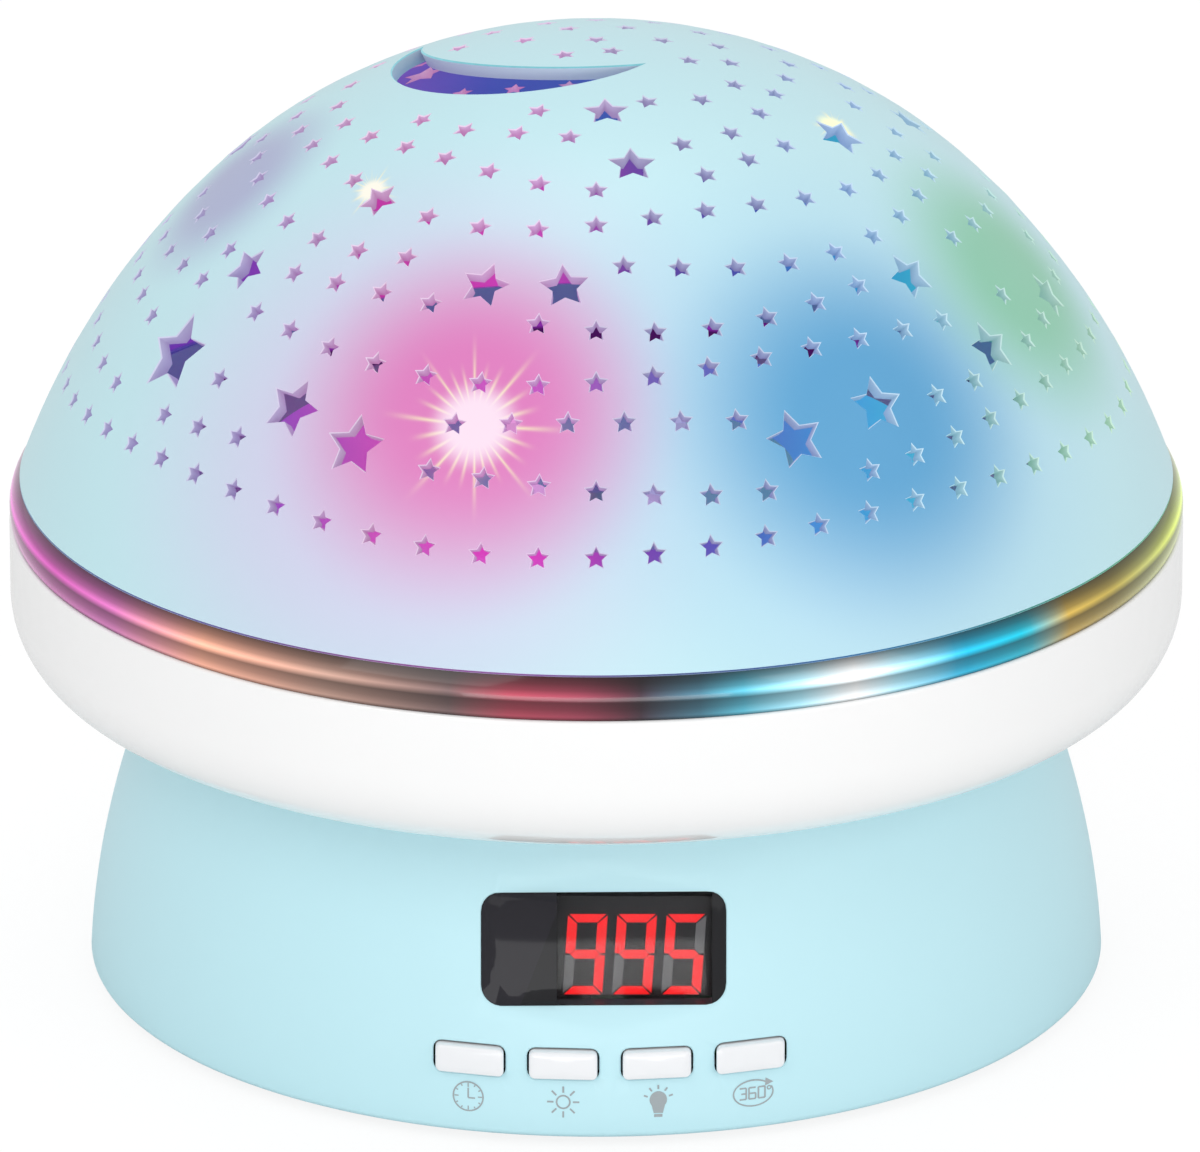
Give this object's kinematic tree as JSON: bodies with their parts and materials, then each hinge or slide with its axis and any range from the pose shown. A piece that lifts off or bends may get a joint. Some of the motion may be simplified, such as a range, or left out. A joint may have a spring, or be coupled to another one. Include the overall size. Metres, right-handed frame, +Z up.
{
  "type": "night light projector",
  "caption": "Round mushroom-shaped star night light: a star-pierced dome and clear ring on a turning white bowl, over a flared base with a figure display and push keys.",
  "frame": {"origin": "middle of the table contact, on the head's turning axis", "axes": "+Z up along the turning axis, keys and display face -Y, +X to the right seen from the front"},
  "size_m": [0.13, 0.13, 0.1067],
  "materials": {
    "dome_blue": "satin moulded plastic",
    "ring_clear": "clear moulded plastic, polished",
    "bowl_white": "glossy white moulded plastic",
    "gear_white": "natural acetal",
    "screw_steel": "zinc-plated steel",
    "motor_can": "pressed steel can",
    "base_blue": "satin moulded plastic",
    "window_black": "glossy smoked acrylic",
    "digits_black": "potted display module",
    "board_green": "solder-masked glass fibre board",
    "switch_black": "moulded switch body",
    "post_white": "moulded plastic",
    "washer_white": "natural acetal",
    "bush_brass": "turned brass",
    "tray_white": "white reflector plastic",
    "lamp_board_white": "white solder mask",
    "lamp_clear": "clear epoxy",
    "cover_blue": "fine-textured moulded plastic",
    "contact_metal": "nickel-plated spring steel",
    "foot_rubber": "soft rubber",
    "jack_black": "moulded socket",
    "key_white": "white moulded plastic"
  },
  "bodies": {
    "base": {"gear_motor": "motor_can", "motor_screws": "screw_steel", "base_shell": "base_blue", "display_window": "window_black", "display_digits": "digits_black", "control_board": "board_green", "key_switches": "switch_black", "center_post": "post_white", "post_screws": "screw_steel", "thrust_washer": "washer_white", "bearing_bush": "bush_brass", "retaining_ring": "screw_steel", "lamp_tray": "tray_white", "lamp_board": "lamp_board_white", "lamp_leds": "lamp_clear", "lamp_screws": "screw_steel", "bottom_cover": "cover_blue", "battery_contacts": "contact_metal", "cover_screws": "screw_steel", "rubber_feet": "foot_rubber", "power_jack": "jack_black"},
    "head": {"head_bowl": "bowl_white", "light_ring": "ring_clear", "ring_gear": "gear_white", "ring_gear_screws": "screw_steel"},
    "dome": {"star_dome": "dome_blue"},
    "pinion": {"drive_pinion": "gear_white"},
    "door": {"battery_door": "cover_blue"},
    "key_timer": {"button_timer": "key_white"},
    "key_brightness": {"button_brightness": "key_white"},
    "key_lamp": {"button_lamp": "key_white"},
    "key_rotation": {"button_rotation": "key_white"}
  },
  "joints": [
    {"name": "head_turn", "type": "hinge", "parent": "base", "child": "head", "pos_m": [0, 0, 0.04], "axis": [0, 0, 1], "continuous": true},
    {"name": "pinion_turn", "type": "hinge", "parent": "base", "child": "pinion", "pos_m": [0, 0.018, 0.0315], "axis": [0, 0, 1], "continuous": true},
    {"name": "dome_lift", "type": "slide", "parent": "head", "child": "dome", "axis": [0, 0, 1], "range_m": [0, 0.06]},
    {"name": "battery_door_swing", "type": "hinge", "parent": "base", "child": "door", "pos_m": [0, 0.0293, 0.0025], "axis": [1, 0, 0], "range_deg": [0, 100]},
    {"name": "timer_press", "type": "slide", "parent": "base", "child": "key_timer", "axis": [0, 1, 0], "range_m": [0, 0.0006], "stiffness_N_per_m": 800},
    {"name": "brightness_press", "type": "slide", "parent": "base", "child": "key_brightness", "axis": [0, 1, 0], "range_m": [0, 0.0006], "stiffness_N_per_m": 800},
    {"name": "lamp_press", "type": "slide", "parent": "base", "child": "key_lamp", "axis": [0, 1, 0], "range_m": [0, 0.0006], "stiffness_N_per_m": 800},
    {"name": "rotation_press", "type": "slide", "parent": "base", "child": "key_rotation", "axis": [0, 1, 0], "range_m": [0, 0.0006], "stiffness_N_per_m": 800}
  ],
  "couplings": [
    {"joint": "pinion_turn", "follows": "head_turn", "ratio": 4}
  ]
}
